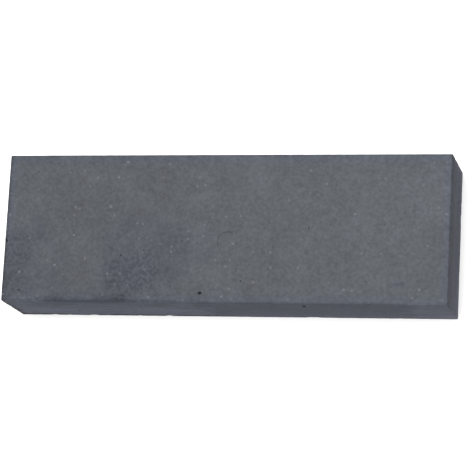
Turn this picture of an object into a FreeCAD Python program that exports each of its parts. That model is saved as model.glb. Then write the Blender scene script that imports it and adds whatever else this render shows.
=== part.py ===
import FreeCAD, Part

import os

import Sketcher

# A bench whetstone: one solid block of bonded abrasive, lying on its broad underside.
# +X runs along its length, +Y towards its back long side and +Z up, and the origin is the
# middle of the underside.  All sizes are in millimetres.

SIZES = [
    ("stone_length", 150.0, "length of the block, along X"),
    ("stone_width", 50.0, "width of the block, along Y"),
    ("stone_thickness", 25.0, "thickness of the block, along Z"),
    ("arris_radius", 0.4, "easing of every sharp edge"),
    ("worn_radius", 2.0, "radius of the front top edge where blades have worn it most"),
    ("fresh_radius", 0.8, "radius of the front top edge where it is hardly worn"),
    ("worn_place", 25.0, "distance from the left end to where it is worn most"),
    ("worn_length", 75.0, "distance from the left end to where the wear has run out"),
]

SHARP_COSINE = 0.9      # two faces whose normals agree less than this meet at a sharp edge


def make_sheet(doc):
    """Write the driving sizes into a sheet, one row each, with their names as aliases."""
    sheet = doc.addObject("Spreadsheet::Sheet", "sizes")
    for row, (alias, value, meaning) in enumerate(SIZES, start=1):
        sheet.set(f"A{row}", meaning)
        sheet.set(f"B{row}", str(value))
        sheet.setAlias(f"B{row}", alias)
    doc.recompute()
    return sheet


def origin_plane(body, role):
    """Find one of the body's own origin planes by its role."""
    return next(plane for plane in body.Origin.OriginFeatures if plane.Role == role)


def add_sketch(body, name, role):
    """Start a sketch on one of the body's origin planes."""
    sketch = body.newObject("Sketcher::SketchObject", name)
    sketch.AttachmentSupport = [(origin_plane(body, role), "")]
    sketch.MapMode = "FlatFace"
    return sketch


def name_size(sketch, constraint, name, expression):
    """Add a constraint, name it and bind it to the sheet."""
    index = sketch.addConstraint(constraint)
    sketch.renameConstraint(index, name)
    sketch.setExpression(f"Constraints.{name}", expression)


def draw_outline(body, sheet):
    """Draw the block's rectangle, centred on the origin of the XY plane."""
    sketch = add_sketch(body, "outline", "XY_Plane")
    half_length = sheet.stone_length / 2
    half_width = sheet.stone_width / 2
    corners = [
        FreeCAD.Vector(-half_length, -half_width, 0),
        FreeCAD.Vector(half_length, -half_width, 0),
        FreeCAD.Vector(half_length, half_width, 0),
        FreeCAD.Vector(-half_length, half_width, 0),
    ]
    front, right, back, left = [
        sketch.addGeometry(Part.LineSegment(start, corners[(index + 1) % 4]))
        for index, start in enumerate(corners)
    ]
    for line, following in ((front, right), (right, back), (back, left), (left, front)):
        sketch.addConstraint(Sketcher.Constraint("Coincident", line, 2, following, 1))
    for line in (front, back):
        sketch.addConstraint(Sketcher.Constraint("Horizontal", line))
    for line in (right, left):
        sketch.addConstraint(Sketcher.Constraint("Vertical", line))
    sketch.addConstraint(Sketcher.Constraint("Symmetric", front, 1, back, 1, -1, 1))
    name_size(
        sketch,
        Sketcher.Constraint("DistanceX", front, 1, front, 2, 2 * half_length),
        "long_side",
        "sizes.stone_length",
    )
    name_size(
        sketch,
        Sketcher.Constraint("DistanceY", right, 1, right, 2, 2 * half_width),
        "short_side",
        "sizes.stone_width",
    )
    return sketch


def draw_worn_corner(body, sheet, name, radius_alias, station):
    """Draw the corner that is gone from the front top edge, at one station along X.

    The sketch lies on the YZ plane, with +Y across and +Z up.  The shape is the sharp corner
    outside a quarter circle that is tangent to the front and top faces.
    """
    sketch = add_sketch(body, name, "YZ_Plane")
    sketch.setExpression("AttachmentOffset.Base.z", station)
    radius = sheet.get(radius_alias)
    front = -sheet.stone_width / 2
    top = sheet.stone_thickness
    corner = FreeCAD.Vector(front, top, 0)
    on_front = FreeCAD.Vector(front, top - radius, 0)
    on_top = FreeCAD.Vector(front + radius, top, 0)
    centre = FreeCAD.Vector(front + radius, top - radius, 0)
    circle = Part.Circle(centre, FreeCAD.Vector(0, 0, 1), radius)
    down = sketch.addGeometry(Part.LineSegment(corner, on_front))
    arc = sketch.addGeometry(
        Part.ArcOfCircle(circle, circle.parameter(on_top), circle.parameter(on_front))
    )
    along = sketch.addGeometry(Part.LineSegment(on_top, corner))
    sketch.addConstraint(Sketcher.Constraint("Vertical", down))
    sketch.addConstraint(Sketcher.Constraint("Horizontal", along))
    sketch.addConstraint(Sketcher.Constraint("Coincident", along, 2, down, 1))
    sketch.addConstraint(Sketcher.Constraint("Tangent", arc, 1, along, 1))
    sketch.addConstraint(Sketcher.Constraint("Tangent", arc, 2, down, 2))
    name_size(sketch, Sketcher.Constraint("Radius", arc, radius), "worn", f"sizes.{radius_alias}")
    name_size(
        sketch,
        Sketcher.Constraint("DistanceX", down, 1, -1, 1, -front),
        "to_front",
        "sizes.stone_width / 2",
    )
    name_size(
        sketch,
        Sketcher.Constraint("DistanceY", -1, 1, down, 1, top),
        "to_top",
        "sizes.stone_thickness",
    )
    return sketch


def sharp_edges(shape):
    """Name the edges where two faces meet at an angle, and leave out the tangent ones."""
    names = []
    for number, edge in enumerate(shape.Edges, start=1):
        middle = edge.valueAt((edge.FirstParameter + edge.LastParameter) / 2)
        normals = [
            face.normalAt(*face.Surface.parameter(middle))
            for face in shape.ancestorsOfType(edge, Part.Face)
        ]
        if normals[0].dot(normals[1]) < SHARP_COSINE:
            names.append(f"Edge{number}")
    return names


def make_stone_block(doc, sheet):
    """Press the block, wear down its front top edge and ease all its other edges."""
    body = doc.addObject("PartDesign::Body", "stone_block")
    body.Label = "stone_block"

    outline = draw_outline(body, sheet)
    block = body.newObject("PartDesign::Pad", "block")
    block.Profile = outline
    block.setExpression("Length", "sizes.stone_thickness")
    doc.recompute()

    left_end = "-sizes.stone_length / 2"
    stations = [
        ("corner_left", "fresh_radius", left_end),
        ("corner_worn", "worn_radius", f"{left_end} + sizes.worn_place"),
        ("corner_run_out", "fresh_radius", f"{left_end} + sizes.worn_length"),
        ("corner_right", "fresh_radius", "sizes.stone_length / 2"),
    ]
    corners = [draw_worn_corner(body, sheet, *station) for station in stations]
    doc.recompute()
    wear = body.newObject("PartDesign::SubtractiveLoft", "worn_edge")
    wear.Profile = corners[0]
    wear.Sections = corners[1:]
    wear.Ruled = True
    doc.recompute()

    easing = body.newObject("PartDesign::Fillet", "eased_edges")
    easing.Base = (wear, sharp_edges(wear.Shape))
    easing.setExpression("Radius", "sizes.arris_radius")
    doc.recompute()
    body.Tip = easing
    return body


def check_document(doc, parts):
    """Stop if any feature failed or any sub-part isn't one valid solid."""
    failed = [item.Name for item in doc.Objects if {"Invalid", "Error"} & set(item.State)]
    if failed:
        raise RuntimeError(f"features that failed: {failed}")
    for part in parts:
        if part.Shape.isNull() or not part.Shape.isValid():
            raise RuntimeError(f"{part.Label} has no valid shape")
        if len(part.Shape.Solids) != 1:
            raise RuntimeError(f"{part.Label} is not one solid")


def main():
    doc = FreeCAD.newDocument("whetstone")
    sheet = make_sheet(doc)
    parts = [make_stone_block(doc, sheet)]
    doc.recompute()
    check_document(doc, parts)
    os.makedirs("parts", exist_ok=True)
    for part in parts:
        part.Shape.exportStep(f"parts/{part.Label}.step")
        box = part.Shape.optimalBoundingBox(False, False)
        size = f"{box.XLength:.2f} x {box.YLength:.2f} x {box.ZLength:.2f} mm"
        print(f"{part.Label}: {size}, volume {part.Shape.Volume:.1f} mm3")


main()
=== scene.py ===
import math
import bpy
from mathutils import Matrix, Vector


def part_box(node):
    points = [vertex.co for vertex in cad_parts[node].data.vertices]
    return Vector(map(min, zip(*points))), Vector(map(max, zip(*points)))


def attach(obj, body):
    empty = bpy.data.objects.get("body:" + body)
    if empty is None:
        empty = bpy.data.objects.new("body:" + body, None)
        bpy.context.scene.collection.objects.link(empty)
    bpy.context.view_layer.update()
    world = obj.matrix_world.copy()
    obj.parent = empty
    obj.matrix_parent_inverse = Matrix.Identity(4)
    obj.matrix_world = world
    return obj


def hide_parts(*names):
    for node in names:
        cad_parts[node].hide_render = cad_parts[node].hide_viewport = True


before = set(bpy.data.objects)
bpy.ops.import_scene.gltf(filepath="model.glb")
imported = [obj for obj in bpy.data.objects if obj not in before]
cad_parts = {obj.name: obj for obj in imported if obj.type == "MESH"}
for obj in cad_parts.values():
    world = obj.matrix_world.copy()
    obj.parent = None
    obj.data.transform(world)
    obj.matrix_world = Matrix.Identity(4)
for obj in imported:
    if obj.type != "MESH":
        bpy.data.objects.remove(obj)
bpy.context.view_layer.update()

from types import SimpleNamespace

import bmesh
import bpy
from mathutils import Matrix, Vector

# A bench whetstone of fired silicon carbide grit, lying on a pale studio floor.
# All lengths are in metres: a size in millimetres is written as a number times MM.
MM = 0.001

STONE_LOW, STONE_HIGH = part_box("stone_block")
STONE_SIZE = STONE_HIGH - STONE_LOW
STONE_MIDDLE = (STONE_LOW + STONE_HIGH) / 2
LEFT, FRONT, FOOT = STONE_LOW
RIGHT, BACK, TOP = STONE_HIGH

# ---- sizes of the shape ------------------------------------------------------------------

WORN_RADIUS = 2.0 * MM          # front top arris, where blades have rubbed it most
FRESH_RADIUS = 0.8 * MM         # the same arris where it is hardly worn
WORN_PLACE = LEFT + 25.0 * MM   # where it is worn most
WORN_END = LEFT + 75.0 * MM     # where the wear has run out
ARRIS_RADIUS = 0.4 * MM         # every other arris
GRID_STEP = 0.7 * MM            # spacing of the mesh that takes the chips and unevenness
HAIR = 0.01 * MM                # slack when picking edges and vertices by their place
SHARP_ANGLE = math.radians(50)  # faces that meet at more than this still have a sharp arris
SMOOTH_ANGLE = math.radians(35)

CRUMBLE_REACH = 1.3 * MM        # how far in from an arris the grit has crumbled
CRUMBLE_DEPTH = 0.10 * MM
CRUMB_SPACING = 1.6 * MM
CHIP_REACH = 1.8 * MM
CHIP_DEPTH = 0.22 * MM
CHIP_SPACING = 3.1 * MM
CHIP_STARTS = 0.72              # the noise has to be this high for a chip to start
CHIP_FULL = 0.86                # and this high for it to be at its deepest
CHIP_TOP = FOOT + 20.0 * MM     # the chips are low down, where the stone knocks the bench

# Pits where a coarse grain has dropped out: centre, measured from the foot of the front left
# corner, and reach along X, Y and Z, in millimetres.
PITS = [
    ((68.1, 3.3, 25.0), (0.70, 0.50, 0.55)),
    ((102.2, 0.0, 20.2), (0.65, 0.70, 1.00)),
    ((0.4, 20.4, 25.0), (0.60, 0.80, 0.60)),
    ((40.6, 15.8, 25.0), (0.34, 0.26, 0.30)),
    ((48.4, 17.6, 25.0), (0.26, 0.22, 0.24)),
    ((103.5, 25.2, 25.0), (0.26, 0.24, 0.24)),
    ((81.6, 7.4, 25.0), (0.28, 0.22, 0.24)),
    ((6.3, 3.6, 25.0), (0.36, 0.22, 0.28)),
    ((138.1, 50.0, 14.2), (0.50, 0.50, 0.45)),
    ((33.3, 50.0, 8.3), (0.42, 0.40, 0.50)),
    ((150.0, 37.4, 9.1), (0.45, 0.55, 0.50)),
    ((0.0, 35.8, 12.7), (0.45, 0.45, 0.50)),
    ((23.0, 0.0, 9.5), (0.45, 0.40, 0.40)),
]
PIT_LUMPS = 0.35                # how far a pit's wall strays, as a share of its reach

# ---- sizes of the surface ----------------------------------------------------------------

# The grain's patterns, from finest to coarsest: spacing, and how many finer layers it holds.
# Real grit is far finer than the first: it is drawn as coarse as it takes to show.
GRAIN_PATTERNS = [
    (1.1 * MM, 2.0),
    (2.6 * MM, 1.0),
    (6.0 * MM, 1.0),
    (14.0 * MM, 2.0),
]
RAGGEDNESS = 1.2                # how hard the coarse patterns push a patch's edge in and out
RAGGED_REACH = 20.0 * MM        # how far they push it along the stone
RAGGED_ARRIS = 1.0 * MM         # how far the finer ones push the edges of marks by an arris,
RAGGED_FOOT = 1.6 * MM          # along the foot
RAGGED_END = 4.0 * MM           # and at the left end
SMEAR_STRETCH = (1 / 7, 1.0, 1.0)           # smears are drawn out along the stone
SMEAR_SPACING = 2.2 * MM
STREAK_STRETCH = (1 / 18, 1 / 18, 1.0)      # streaks run round the sides, level
STREAK_SPACING = 1.6 * MM

# Specks: the width of the cell that each has to itself, its radius, and the share of the
# cells that hold one.
# Painted glints: pale specks in the colour that stand in for grains catching the light.
PAINTED_GLINTS = (2.5 * MM, 0.62 * MM, 0.6)
PORES = (1.6 * MM, 0.50 * MM, 0.6)
CLOTS = (1.4 * MM, 0.55 * MM, 0.7)
SPECK_CORE = 0.2                # share of a speck's radius inside which it is at full strength
FAINTEST_SPECK = 0.2            # strength of the faintest one, as a share of the strongest

# Stains of oil and swarf on the working face: centre, measured from its front left corner,
# and reach along X, Y and Z, in millimetres, and strength.
STAINS = [
    ((45.0, 10.5), (14.0, 13.5, 6.0), 1.0),
    ((51.0, 16.0), (20.0, 14.0, 6.0), 0.65),
    ((64.0, 20.5), (8.0, 7.0, 6.0), 0.6),
    ((0.0, 12.0), (18.0, 17.0, 8.0), 0.8),
    ((7.0, 19.0), (12.0, 6.0, 8.0), 0.7),
    ((13.0, 3.5), (13.0, 4.5, 6.0), 0.5),
    ((50.0, 5.0), (6.5, 5.0, 6.0), 0.8),
    ((134.0, 6.4), (3.4, 1.6, 1.0), 1.0),
]
STAIN_RIM = 1.15                # a stain starts this far out, as a share of its reach
STAIN_CORE = 0.35               # and is at full strength inside this share

SCRATCH_CENTRE = Vector((LEFT + 76.5 * MM, FRONT + 20.4 * MM, TOP))
SCRATCH_RADIUS = 3.4 * MM
SCRATCH_WIDTH = 0.36 * MM       # from its middle to where it fades out, on either side

RUBBED_GREY = ("#44464a", "#44474b")        # working face, in its darker and paler grains
STAINED_BLUE = "#43464d"                    # working face, in the stains and along its rim
# Colours of the sides: their own blue-grey, made darker and bluer as painted shade, and paler near
# the foot than near the top as painted bounce light.
SIDE_BLUE_AND_SHADE = ("#3a3f49", "#3d3f4a")          # sides, near the top and near the foot
# Colour of the painted glints.
PAINTED_GLINT_GREY = "#5a5d61"

DRY_ROUGHNESS = 0.85
OILED_ROUGHNESS = 0.70
STONE_IOR = 1.5                 # of the glassy bond between the grains
STONE_GLOSS = 0.15              # low, because the pores swallow most of the sheen
BUMP_HEIGHT = 0.08 * MM
BUMP_STRENGTH = 0.35

# ---- sizes of the studio -----------------------------------------------------------------

FLOOR_WIDTH = 8.0
WALL_HEIGHT = 3.0
SWEEP_RADIUS = 1.2              # of the curve from the floor up into the walls
SOFT_BOX_HEIGHT = 1.2
SOFT_BOX_WIDTH = 0.9
SOFT_BOX_WATTS = 26.0
SURROUND_STRENGTH = 0.5
PAPER_WHITE = "#f2f2f1"
PAPER_ROUGHNESS = 0.9
PAPER_GLOSS = 0.2

CAMERA_AZIMUTH = math.radians(46.5)         # round from the front, towards the right end
CAMERA_ELEVATION = math.radians(72.3)       # above the floor
CAMERA_ROLL = math.radians(3.0)
CAMERA_DISTANCE = 0.800
CAMERA_AIM = STONE_MIDDLE + Vector((1.05, 0.49, 0.0)) * MM
CAMERA_LENS = 183.8             # millimetres, as is the sensor's width
SENSOR_WIDTH = 36.0


# ---- picking and cutting, in edit mode ---------------------------------------------------

def deselect_all():
    """Deselect every object, so that an operator acts only on what comes next."""
    bpy.ops.object.select_all(action="DESELECT")


def pick(piece, kind, test):
    """Select the vertices or edges whose points all pass the test."""
    mesh = bmesh.from_edit_mesh(piece.data)
    for vert in mesh.verts:
        vert.select_set(False)
    mesh.select_flush(False)
    for element in getattr(mesh, kind):
        points = [element.co] if kind == "verts" else [vert.co for vert in element.verts]
        if all(test(point) for point in points):
            element.select_set(True)
    bmesh.update_edit_mesh(piece.data)


def cut_across(axis, places):
    """Cut the whole mesh by planes square to one axis."""
    normal = [0.0, 0.0, 0.0]
    normal[axis] = 1.0
    for place in places:
        bpy.ops.mesh.select_all(action="SELECT")
        bpy.ops.mesh.bisect(plane_co=[part * place for part in normal], plane_no=normal)


def even_places(axis, step):
    """Places along one axis, about a step apart, between the stone's two faces."""
    count = round(STONE_SIZE[axis] / step)
    return [STONE_LOW[axis] + STONE_SIZE[axis] * index / count for index in range(1, count)]


# ---- the stone ---------------------------------------------------------------------------

def make_block():
    """A block of the stone's size, with its object left at the origin."""
    deselect_all()
    bpy.ops.mesh.primitive_cube_add(size=1, location=STONE_MIDDLE, scale=STONE_SIZE)
    bpy.ops.object.transform_apply(location=True, rotation=True, scale=True)
    stone = bpy.context.object
    stone.name = "whetstone"
    stone.data.name = "whetstone"
    return stone


def wear_front_arris(stone):
    """Round the front top arris most at one place, and draw the rounding in elsewhere."""
    corner = Vector((0, FRONT, TOP))

    def at_corner(point):
        return abs(point.y - corner.y) < HAIR and abs(point.z - corner.z) < HAIR

    def on_fresh_rounding(point):
        near_front = point.y < corner.y + WORN_RADIUS + HAIR
        near_top = point.z > corner.z - WORN_RADIUS - HAIR
        return abs(point.x - WORN_PLACE) > HAIR and near_front and near_top

    pick(stone, "edges", at_corner)
    bpy.ops.mesh.bevel(offset=WORN_RADIUS, segments=8, profile=0.5, affect="EDGES")
    cut_across(0, [WORN_PLACE, WORN_END])
    pick(stone, "verts", on_fresh_rounding)
    share = FRESH_RADIUS / WORN_RADIUS
    bpy.ops.transform.resize(value=(1, share, share), center_override=corner)


def ease_arrises():
    """Ease every arris that is still sharp."""
    bpy.ops.mesh.select_all(action="DESELECT")
    bpy.ops.mesh.edges_select_sharp(sharpness=SHARP_ANGLE)
    bpy.ops.mesh.bevel(
        offset=ARRIS_RADIUS, segments=3, profile=0.5, affect="EDGES", clamp_overlap=False
    )


def apply_all(piece):
    """Apply a piece's modifiers, in order."""
    deselect_all()
    piece.select_set(True)
    bpy.context.view_layer.objects.active = piece
    for modifier in list(piece.modifiers):
        bpy.ops.object.modifier_apply(modifier=modifier.name)


def mark_arrises(stone, name, reach, highest):
    """A vertex group that is full at the arrises below a height, and fades away from them."""
    group = stone.vertex_groups.new(name=name)
    for vert in stone.data.vertices:
        if vert.co.z > highest:
            continue
        gaps = sorted(
            min(vert.co[axis] - STONE_LOW[axis], STONE_HIGH[axis] - vert.co[axis])
            for axis in (0, 1, 2)
        )
        weight = 1.0 - gaps[1] / reach
        if weight > 0:
            group.add([vert.index], weight, "REPLACE")


def sink(stone, texture, group, depth):
    """Add a modifier that sinks a group of vertices into the stone by a texture."""
    modifier = stone.modifiers.new(group, "DISPLACE")
    modifier.texture = texture
    modifier.texture_coords = "LOCAL"
    modifier.vertex_group = group
    modifier.mid_level = 0.0
    modifier.strength = -depth


def crumble_arrises(stone):
    """Crumble the arrises finely all along, and break a few chips out of the lower ones."""
    crumbs = bpy.data.textures.new("crumbs", "CLOUDS")
    crumbs.noise_scale = CRUMB_SPACING
    crumbs.noise_depth = 1
    mark_arrises(stone, "crumbled", CRUMBLE_REACH, TOP)
    sink(stone, crumbs, "crumbled", CRUMBLE_DEPTH)

    chips = bpy.data.textures.new("chips", "CLOUDS")
    chips.noise_scale = CHIP_SPACING
    chips.noise_depth = 0
    chips.use_color_ramp = True
    whole, chipped = chips.color_ramp.elements
    whole.position = CHIP_STARTS
    whole.color = (0, 0, 0, 1)
    chipped.position = CHIP_FULL
    chipped.color = (1, 1, 1, 1)
    mark_arrises(stone, "chipped", CHIP_REACH, CHIP_TOP)
    sink(stone, chips, "chipped", CHIP_DEPTH)
    apply_all(stone)


def make_pit_cutter():
    """Lumpy little stones that stand half out of the faces: what they cut is a pit."""
    lumps = []
    for seed, (centre, reach) in enumerate(PITS):
        deselect_all()
        bpy.ops.mesh.primitive_ico_sphere_add(
            subdivisions=2, radius=MM, location=STONE_LOW + Vector(centre) * MM, scale=reach
        )
        bpy.ops.object.transform_apply(location=True, rotation=True, scale=True)
        bpy.ops.object.mode_set(mode="EDIT")
        bpy.ops.mesh.select_all(action="SELECT")
        bpy.ops.transform.vertex_random(offset=PIT_LUMPS * min(reach) * MM, seed=seed)
        bpy.ops.object.mode_set(mode="OBJECT")
        lumps.append(bpy.context.object)
    deselect_all()
    for lump in lumps:
        lump.select_set(True)
    bpy.context.view_layer.objects.active = lumps[0]
    bpy.ops.object.join()
    return lumps[0]


def mark_faces(piece, value):
    """Give every face of a piece the same value of the attribute that paints shade into the pits.
    """
    marks = piece.data.attributes.new("swarf", "FLOAT", "FACE")
    for mark in marks.data:
        mark.value = value


def cut_pits(stone):
    """Cut the pits, whose walls keep the cutter's mark, which paints shade on them."""
    cutter = make_pit_cutter()
    mark_faces(stone, 0.0)
    mark_faces(cutter, 1.0)
    pits = stone.modifiers.new("pits", "BOOLEAN")
    pits.operation = "DIFFERENCE"
    pits.solver = "EXACT"
    pits.object = cutter
    apply_all(stone)
    bpy.data.objects.remove(cutter)


def make_stone():
    """The whole stone: a block with its arrises worn, eased and chipped, and its faces pitted."""
    stone = make_block()
    bpy.ops.object.mode_set(mode="EDIT")
    bpy.ops.mesh.select_mode(type="VERT")
    wear_front_arris(stone)
    bpy.ops.mesh.select_mode(type="EDGE")
    ease_arrises()
    for axis in (0, 1, 2):
        cut_across(axis, even_places(axis, GRID_STEP))
    bpy.ops.object.mode_set(mode="OBJECT")
    crumble_arrises(stone)
    cut_pits(stone)
    bpy.ops.object.shade_smooth_by_angle(angle=SMOOTH_ANGLE)
    return stone


# ---- building materials ------------------------------------------------------------------

def linear(hex_colour):
    """An sRGB hex colour as the linear red, green, blue and alpha that a shader takes."""
    channels = [int(hex_colour[start:start + 2], 16) / 255 for start in (1, 3, 5)]
    return [
        value / 12.92 if value <= 0.04045 else ((value + 0.055) / 1.055) ** 2.4
        for value in channels
    ] + [1.0]


def add(tree, kind, sockets=None, **settings):
    """Add a node, with its settings, and fill its sockets with values or links."""
    made = tree.nodes.new(kind)
    for name, value in settings.items():
        setattr(made, name, value)
    for socket, value in (sockets or {}).items():
        if isinstance(value, bpy.types.NodeSocket):
            tree.links.new(value, made.inputs[socket])
        else:
            made.inputs[socket].default_value = value
    return made


def start_material(name):
    """A new material, and its empty node tree."""
    material = bpy.data.materials.new(name)
    material.use_nodes = True
    material.node_tree.nodes.clear()
    return material, material.node_tree


def add_fade(tree, *bounds):
    """A mask: 0 where any value is short of its first bound, 1 where all are past their second."""
    mask = 1.0
    for value, none_at, all_at in bounds:
        step = add(tree, "ShaderNodeMapRange", {
            "Value": value, "From Min": none_at, "From Max": all_at,
        }, interpolation_type="SMOOTHSTEP").outputs["Result"]
        mask = add(tree, "ShaderNodeMath", {0: step, 1: mask}, operation="MULTIPLY").outputs[0]
    return mask


def add_specks(tree, place, spacing, radius, share):
    """Grains scattered through the stone, one to a cell: those that the surface cuts show as
    dots of many sizes and strengths.  Only a share of the cells holds one."""
    cells = add(tree, "ShaderNodeTexVoronoi", {"Vector": place, "Scale": 1 / spacing})
    rim = radius / spacing
    dot = add_fade(tree, (cells.outputs["Distance"], rim, SPECK_CORE * rim))
    draws = add(tree, "ShaderNodeSeparateColor", {"Color": cells.outputs["Color"]}).outputs
    chosen = add(tree, "ShaderNodeMath", {
        0: draws[0], 1: share,
    }, operation="LESS_THAN").outputs[0]
    mostly_faint = add(tree, "ShaderNodeMath", {
        0: draws[1], 1: 2.0,
    }, operation="POWER").outputs[0]
    strength = add(tree, "ShaderNodeMapRange", {
        "Value": mostly_faint, "To Min": FAINTEST_SPECK,
    }).outputs["Result"]
    strong_dot = add(tree, "ShaderNodeMath", {
        0: dot, 1: strength,
    }, operation="MULTIPLY").outputs[0]
    return add(tree, "ShaderNodeMath", {
        0: strong_dot, 1: chosen,
    }, operation="MULTIPLY").outputs[0]


def add_arris_distance(tree, place):
    """How far in from the nearest arris a point of the surface lies: the middle one of its
    distances from the stone's three pairs of faces."""
    from_middle = add(tree, "ShaderNodeVectorMath", {
        0: place, 1: STONE_MIDDLE,
    }, operation="SUBTRACT").outputs[0]
    folded = add(tree, "ShaderNodeVectorMath", {0: from_middle}, operation="ABSOLUTE").outputs[0]
    gaps = add(tree, "ShaderNodeVectorMath", {
        0: STONE_SIZE / 2, 1: folded,
    }, operation="SUBTRACT").outputs[0]
    ends, sides, faces = add(tree, "ShaderNodeSeparateXYZ", {"Vector": gaps}).outputs
    nearer = add(tree, "ShaderNodeMath", {0: ends, 1: sides}, operation="MINIMUM").outputs[0]
    further = add(tree, "ShaderNodeMath", {0: ends, 1: sides}, operation="MAXIMUM").outputs[0]
    other = add(tree, "ShaderNodeMath", {0: further, 1: faces}, operation="MINIMUM").outputs[0]
    return add(tree, "ShaderNodeMath", {0: nearer, 1: other}, operation="MAXIMUM").outputs[0]


# ---- the stone's surface -----------------------------------------------------------------

def read_spot(tree):
    """What the masks are made from: where a point of the surface lies and how it is grained."""
    spot = SimpleNamespace()
    spot.place = add(tree, "ShaderNodeTexCoord").outputs["Object"]
    spot.along, spot.across, spot.height = add(
        tree, "ShaderNodeSeparateXYZ", {"Vector": spot.place}
    ).outputs
    spot.grit, spot.clumps, spot.mottle, spot.clouds = [
        add(tree, "ShaderNodeTexNoise", {
            "Vector": spot.place, "Scale": 1 / spacing, "Detail": detail,
        }).outputs["Fac"]
        for spacing, detail in GRAIN_PATTERNS
    ]

    # Everything but the working face, and then the front side and the right end alone.
    spot.side = add_fade(tree, (spot.height, TOP - 0.3 * MM, TOP - 0.9 * MM))
    spot.front_side = add_fade(tree, (spot.across, FRONT + 0.5 * MM, FRONT + 0.2 * MM))
    spot.right_end = add_fade(tree, (spot.along, RIGHT - 0.8 * MM, RIGHT - 0.3 * MM))

    # The same places pushed about by the grain, which gives a mask a ragged edge.
    blotches = add(tree, "ShaderNodeMath", {
        0: spot.clouds, 1: spot.mottle,
    }, operation="ADD").outputs[0]
    spot.ragged = add(tree, "ShaderNodeMath", {
        0: blotches, 1: RAGGEDNESS, 2: -RAGGEDNESS,
    }, operation="MULTIPLY_ADD").outputs[0]
    spot.ragged_along = add(tree, "ShaderNodeMath", {
        0: spot.ragged, 1: RAGGED_REACH, 2: spot.along,
    }, operation="MULTIPLY_ADD").outputs[0]
    spot.ragged_arris = add(tree, "ShaderNodeMath", {
        0: spot.grit, 1: RAGGED_ARRIS, 2: add_arris_distance(tree, spot.place),
    }, operation="MULTIPLY_ADD").outputs[0]
    return spot


def add_stains(tree, spot):
    """Oil and swarf, soaked in where the blades are worked most."""
    stained = 0.0
    for (from_left, from_front), reach, strength in STAINS:
        centre = Vector((LEFT + from_left * MM, FRONT + from_front * MM, TOP))
        away = add(tree, "ShaderNodeVectorMath", {
            0: spot.place, 1: centre,
        }, operation="SUBTRACT").outputs[0]
        shares = add(tree, "ShaderNodeVectorMath", {
            0: away, 1: [1 / (length * MM) for length in reach],
        }, operation="MULTIPLY").outputs[0]
        distance = add(tree, "ShaderNodeVectorMath", {
            0: shares,
        }, operation="LENGTH").outputs["Value"]
        ragged_distance = add(tree, "ShaderNodeMath", {
            0: distance, 1: spot.ragged,
        }, operation="ADD").outputs[0]
        blot = add_fade(tree, (ragged_distance, STAIN_RIM, STAIN_CORE))
        stain = add(tree, "ShaderNodeMath", {
            0: blot, 1: strength,
        }, operation="MULTIPLY").outputs[0]
        stained = add(tree, "ShaderNodeMath", {
            0: stain, 1: stained,
        }, operation="MAXIMUM").outputs[0]
    return stained


def add_scratch(tree, spot):
    """A hairline scratch: part of a circle, drawn on the working face by a slipped blade."""
    off_centre = add(tree, "ShaderNodeVectorMath", {
        0: spot.place, 1: SCRATCH_CENTRE,
    }, operation="SUBTRACT").outputs[0]
    distance = add(tree, "ShaderNodeVectorMath", {
        0: off_centre,
    }, operation="LENGTH").outputs["Value"]
    return add_fade(
        tree,
        (distance, SCRATCH_RADIUS - SCRATCH_WIDTH, SCRATCH_RADIUS),
        (distance, SCRATCH_RADIUS + SCRATCH_WIDTH, SCRATCH_RADIUS),
        (spot.along, SCRATCH_CENTRE.x + 2.5 * MM, SCRATCH_CENTRE.x + 0.9 * MM),
        (spot.across, SCRATCH_CENTRE.y - 3.6 * MM, SCRATCH_CENTRE.y + 2.2 * MM),
    )


def add_arris_shade(tree, spot):
    """A smeared line of painted shade along the worn stretch of the front top arris, darkening
    the rounding and the top of the front side.
    """
    drawn_out = add(tree, "ShaderNodeVectorMath", {
        0: spot.place, 1: SMEAR_STRETCH,
    }, operation="MULTIPLY").outputs[0]
    smears = add(tree, "ShaderNodeTexNoise", {
        "Vector": drawn_out, "Scale": 1 / SMEAR_SPACING, "Detail": 2.0,
    }).outputs["Fac"]
    return add_fade(
        tree,
        (spot.across, FRONT + 3.6 * MM, FRONT + 1.6 * MM),
        (spot.height, FOOT + 10 * MM, TOP - 5 * MM),
        (spot.ragged_along, LEFT + 77 * MM, LEFT + 55 * MM),
        (smears, 0.36, 0.66),
    )


def add_streaks(tree, spot):
    """The level streaks that the mould has left on the sides: half strength means none, and
    that is what the working face has."""
    flattened = add(tree, "ShaderNodeVectorMath", {
        0: spot.place, 1: STREAK_STRETCH,
    }, operation="MULTIPLY").outputs[0]
    streaks = add(tree, "ShaderNodeTexNoise", {
        "Vector": flattened, "Scale": 1 / STREAK_SPACING, "Detail": 1.0,
    }).outputs["Fac"]
    return add(tree, "ShaderNodeMix", {0: spot.side, 2: 0.5, 3: streaks}).outputs[0]


def side_marks(tree, spot):
    """Masks of the sides' patches, each with the tone it gives.  The sides, and the right end
    more, are darkened as painted shade, with more painted shade below the right end's top arris;
    the left part of the front side is toned paler as painted light, and the front side's right
    end and the right end's front part are toned paler."""
    # Painted light: the left part of the front side is toned paler.
    painted_lit_left = add_fade(
        tree, (spot.front_side, 0, 1), (spot.ragged_along, LEFT + 71 * MM, LEFT + 61 * MM)
    )
    # The front side's right end and the right end's front part are toned paler.
    paler_front_right = add_fade(
        tree, (spot.front_side, 0, 1), (spot.ragged_along, RIGHT - 19 * MM, RIGHT - 9 * MM)
    )
    paler_end_front = add_fade(
        tree, (spot.right_end, 0, 1), (spot.across, FRONT + 27 * MM, FRONT + 7 * MM)
    )
    # Painted shade: a darker band below the right end's top arris.
    under_arris_shade = add_fade(
        tree, (spot.right_end, 0, 1), (spot.height, TOP - 11 * MM, TOP - 2 * MM)
    )
    return [
        # The darker tones of the sides and of the right end are painted shade.
        (spot.side, 0.82),
        (spot.right_end, 0.90),
        (under_arris_shade, 0.80),
        (paler_end_front, 1.12),
        (painted_lit_left, 1.48),
        (paler_front_right, 1.30),
    ]


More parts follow.
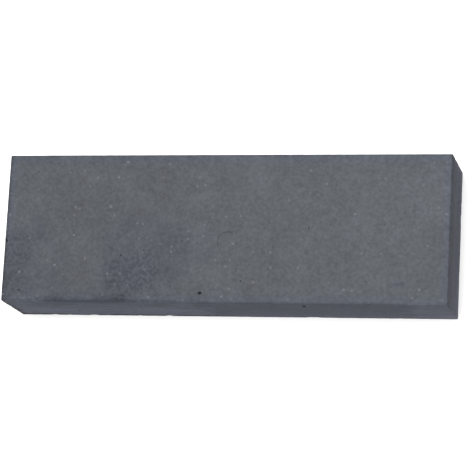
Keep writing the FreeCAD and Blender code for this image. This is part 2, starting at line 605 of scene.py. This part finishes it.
def edge_marks(tree, spot):
    """Masks of what shows along the foot and the left end, each with the tone it gives: a painted
    contact shadow along the foot, strongest on the front side, painted bounce light paler along
    the foot towards the right, and painted shade by the front left corner and on the left end."""
    ragged_height = add(tree, "ShaderNodeMath", {
        0: spot.clumps, 1: RAGGED_FOOT, 2: spot.height,
    }, operation="MULTIPLY_ADD").outputs[0]
    ragged_end = add(tree, "ShaderNodeMath", {
        0: spot.clumps, 1: RAGGED_END, 2: spot.along,
    }, operation="MULTIPLY_ADD").outputs[0]
    # Painted contact shadow: darker towards the foot, most on the left, darkest on the front side.
    foot = add_fade(
        tree,
        (ragged_height, FOOT + 5.0 * MM, FOOT + 1.4 * MM),
        (spot.along, LEFT + 111 * MM, LEFT + 45 * MM),
    )
    front_foot_shadow = add_fade(tree, (foot, 0, 1), (spot.front_side, 0, 1))
    # Painted bounce light: paler along the foot towards the right end.
    bounce_lit_foot = add_fade(
        tree,
        (ragged_height, FOOT + 9.0 * MM, FOOT + 4.0 * MM),
        (spot.along, LEFT + 50 * MM, LEFT + 90 * MM),
    )
    # Painted shade: a dark band down the front side by the front left corner.
    left_corner_shade = add_fade(
        tree,
        (ragged_end, LEFT + 5.4 * MM, LEFT + 2.6 * MM),
        (spot.across, FRONT + 2.6 * MM, FRONT + 1.0 * MM),
        (spot.height, TOP - 0.4 * MM, TOP - 2.0 * MM),
    )
    # Painted shade on the left end.
    left_end_shade = add_fade(
        tree,
        (spot.along, LEFT + 1.8 * MM, LEFT + 0.4 * MM),
        (spot.height, TOP - 1.2 * MM, TOP - 0.2 * MM),
    )
    return [
        (foot, 0.74),
        (front_foot_shadow, 0.40),
        (bounce_lit_foot, 1.28),
        (left_corner_shade, 0.42),
        (left_end_shade, 0.76),
    ]


def working_marks(tree, spot, stained):
    """Masks of what honing has left, each with the tone it gives, with painted shade along the
    worn front arris and on the pits' walls.
    """
    clogged = add_fade(tree, (spot.grit, 0.56, 0.38), (stained, 0.45, 1.0))
    clots = add_fade(
        tree, (add_specks(tree, spot.place, *CLOTS), 0, 1), (stained, 0.3, 0.9)
    )
    # Painted shade: the pits' walls, marked by the cutter, are darkened.
    swarf = add(tree, "ShaderNodeAttribute", attribute_name="swarf").outputs["Fac"]
    return [
        (add_arris_shade(tree, spot), 0.76),
        (stained, 0.84),
        (clogged, 0.87),
        (clots, 0.72),
        (add_scratch(tree, spot), 0.60),
        (swarf, 0.25),
    ]


def add_stone_colour(tree, spot, stained):
    """The stone's colour before any tones: the rubbed middle of the working face is a warmer
    grey than its rim, the stains and the sides, whose darker blue is partly painted shade and
    which grow paler towards the foot as painted bounce light."""
    rim = add_fade(tree, (spot.ragged_arris, 4.0 * MM, 2.0 * MM))
    blue = add(tree, "ShaderNodeMath", {0: rim, 1: stained}, operation="MAXIMUM").outputs[0]
    darker, paler = RUBBED_GREY
    rubbed = add(tree, "ShaderNodeMix", {
        0: spot.grit, 6: linear(darker), 7: linear(paler),
    }, data_type="RGBA").outputs[2]
    face = add(tree, "ShaderNodeMix", {
        0: blue, 6: rubbed, 7: linear(STAINED_BLUE),
    }, data_type="RGBA").outputs[2]
    near_top, near_foot = SIDE_BLUE_AND_SHADE
    lower = add_fade(tree, (spot.height, TOP - 3 * MM, FOOT + 8 * MM))
    sides = add(tree, "ShaderNodeMix", {
        0: lower, 6: linear(near_top), 7: linear(near_foot),
    }, data_type="RGBA").outputs[2]
    return add(tree, "ShaderNodeMix", {
        0: spot.side, 6: face, 7: sides,
    }, data_type="RGBA").outputs[2]


def tint_by_layers(tree, colour, layers):
    """Multiply a colour by one tone after another: each layer is a value, its two bounds and
    the tones it gives there."""
    for value, low, high, low_tone, high_tone in layers:
        tone = add(tree, "ShaderNodeMapRange", {
            "Value": value, "From Min": low, "From Max": high,
            "To Min": low_tone, "To Max": high_tone,
        }, interpolation_type="SMOOTHSTEP").outputs["Result"]
        colour = add(tree, "ShaderNodeVectorMath", {
            0: colour, "Scale": tone,
        }, operation="SCALE").outputs[0]
    return colour


def make_stone_material():
    """Fired silicon carbide grit, ground flat: a matt blue-grey of fine grains, with painted
    glints, a few dark pores and the dark stains that oil and swarf leave, and painted light and
    shade on the sides, along the arrises, at the foot and in the pits."""
    material, tree = start_material("fired_silicon_carbide")
    spot = read_spot(tree)
    stained = add_stains(tree, spot)
    pores = add_specks(tree, spot.place, *PORES)

    # Tones of the grain, and tones that change along, across and down the stone.
    layers = [
        (spot.grit, 0.25, 0.75, 0.88, 1.12),
        (spot.clumps, 0.25, 0.75, 0.95, 1.05),
        (spot.mottle, 0.25, 0.75, 0.98, 1.02),
        (spot.clouds, 0.30, 0.70, 0.95, 1.05),
        (add_streaks(tree, spot), 0.30, 0.70, 0.94, 1.06),
        (spot.ragged_along, LEFT + 57 * MM, LEFT + 77 * MM, 0.94, 1.0),
        (spot.along, LEFT + 55 * MM, RIGHT, 0.98, 1.03),
        (spot.across, FRONT + 1 * MM, BACK - 15 * MM, 0.965, 1.025),
        # Painted bounce light: the sides are toned paler towards the foot, as if lit from the
        # floor.
        (spot.height, TOP - 2 * MM, FOOT + 6 * MM, 1.0, 1.26),
        (spot.height, FOOT + 6 * MM, FOOT + 3 * MM, 1.0, 1.10),
        # Painted shade: a darker line along every arris.
        (spot.ragged_arris, 0.5 * MM, 1.5 * MM, 0.90, 1.0),
    ]
    marks = side_marks(tree, spot) + edge_marks(tree, spot) + working_marks(tree, spot, stained)
    layers += [(mask, 0, 1, 1.0, tone) for mask, tone in marks + [(pores, 0.73)]]
    toned = tint_by_layers(tree, add_stone_colour(tree, spot, stained), layers)

    # Painted glints: pale dots mixed into the colour stand in for grains catching the light,
    # full on the ground face and weaker on the raw sides.
    ground_share = add(tree, "ShaderNodeMapRange", {
        "Value": spot.side, "To Min": 1.0, "To Max": 0.4,
    }).outputs["Result"]
    painted_glints = add(tree, "ShaderNodeMath", {
        0: add_specks(tree, spot.place, *PAINTED_GLINTS), 1: ground_share,
    }, operation="MULTIPLY").outputs[0]
    colour = add(tree, "ShaderNodeMix", {
        0: painted_glints, 6: toned, 7: linear(PAINTED_GLINT_GREY),
    }, data_type="RGBA").outputs[2]

    roughness = add(tree, "ShaderNodeMapRange", {
        "Value": stained, "To Min": DRY_ROUGHNESS, "To Max": OILED_ROUGHNESS,
    }).outputs["Result"]
    relief = add(tree, "ShaderNodeMath", {
        0: spot.grit, 1: pores,
    }, operation="SUBTRACT").outputs[0]
    bump = add(tree, "ShaderNodeBump", {
        "Height": relief, "Strength": BUMP_STRENGTH, "Distance": BUMP_HEIGHT,
    }).outputs["Normal"]
    shader = add(tree, "ShaderNodeBsdfPrincipled", {
        "Base Color": colour, "Roughness": roughness, "IOR": STONE_IOR,
        "Specular IOR Level": STONE_GLOSS, "Normal": bump,
    }).outputs[0]
    add(tree, "ShaderNodeOutputMaterial", {"Surface": shader})
    return material


# ---- studio ------------------------------------------------------------------------------

def make_paper_material():
    """Matt white background paper."""
    material, tree = start_material("white_paper_sweep")
    shader = add(tree, "ShaderNodeBsdfPrincipled", {
        "Base Color": linear(PAPER_WHITE), "Roughness": PAPER_ROUGHNESS,
        "Specular IOR Level": PAPER_GLOSS,
    }).outputs[0]
    add(tree, "ShaderNodeOutputMaterial", {"Surface": shader})
    return material


def make_floor():
    """A white sweep: a flat floor whose far edges curve up into walls."""
    deselect_all()
    bpy.ops.mesh.primitive_cube_add(
        size=1, location=(0, 0, WALL_HEIGHT / 2), scale=(FLOOR_WIDTH, FLOOR_WIDTH, WALL_HEIGHT)
    )
    bpy.ops.object.transform_apply(location=True, rotation=True, scale=True)
    floor = bpy.context.object
    floor.name = "studio_floor"
    bpy.ops.object.mode_set(mode="EDIT")
    bpy.ops.mesh.select_mode(type="FACE")
    bpy.ops.mesh.select_all(action="DESELECT")
    mesh = bmesh.from_edit_mesh(floor.data)
    for face in mesh.faces:
        face.select_set(face.normal.z > 0.5)
    bmesh.update_edit_mesh(floor.data)
    bpy.ops.mesh.delete(type="FACE")
    bpy.ops.mesh.select_mode(type="EDGE")
    pick(floor, "edges", lambda point: point.z < WALL_HEIGHT / 2)
    bpy.ops.mesh.bevel(offset=SWEEP_RADIUS, segments=12, profile=0.5, affect="EDGES")
    bpy.ops.mesh.select_all(action="SELECT")
    bpy.ops.mesh.flip_normals()
    bpy.ops.object.mode_set(mode="OBJECT")
    bpy.ops.object.shade_smooth_by_angle(angle=SMOOTH_ANGLE)
    floor.data.materials.append(make_paper_material())


def make_lights():
    """One big soft box overhead, shining straight down, and an even white surround."""
    deselect_all()
    bpy.ops.object.light_add(type="AREA", location=(0, 0, SOFT_BOX_HEIGHT))
    box = bpy.context.object
    box.name = "soft_box"
    box.data.shape = "SQUARE"
    box.data.size = SOFT_BOX_WIDTH
    box.data.energy = SOFT_BOX_WATTS

    world = bpy.data.worlds.new("studio")
    world.use_nodes = True
    world.node_tree.nodes.clear()
    light = add(world.node_tree, "ShaderNodeBackground", {
        "Color": (1.0, 1.0, 1.0, 1.0), "Strength": SURROUND_STRENGTH,
    }).outputs[0]
    add(world.node_tree, "ShaderNodeOutputWorld", {"Surface": light})
    bpy.context.scene.world = world


def make_camera():
    """Look down on the stone from over its front right corner, with its length across."""
    back = Vector((
        math.sin(CAMERA_AZIMUTH) * math.cos(CAMERA_ELEVATION),
        -math.cos(CAMERA_AZIMUTH) * math.cos(CAMERA_ELEVATION),
        math.sin(CAMERA_ELEVATION),
    ))
    right = Vector((0, 1, 0)).cross(back).normalized()
    upward = back.cross(right)
    turn = Matrix((right, upward, back)).transposed()
    turn = turn @ Matrix.Rotation(CAMERA_ROLL, 3, "Z")
    deselect_all()
    bpy.ops.object.camera_add()
    camera = bpy.context.object
    camera.name = "camera"
    camera.data.sensor_width = SENSOR_WIDTH
    camera.data.lens = CAMERA_LENS
    camera.data.clip_start = 0.01
    camera.data.clip_end = 50.0
    camera.matrix_world = Matrix.Translation(CAMERA_AIM + back * CAMERA_DISTANCE) @ turn.to_4x4()
    bpy.context.scene.camera = camera


stone = make_stone()
stone.data.materials.append(make_stone_material())
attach(stone, "root")
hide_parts("stone_block")
make_floor()
make_lights()
make_camera()
bpy.context.scene.view_settings.view_transform = "Standard"
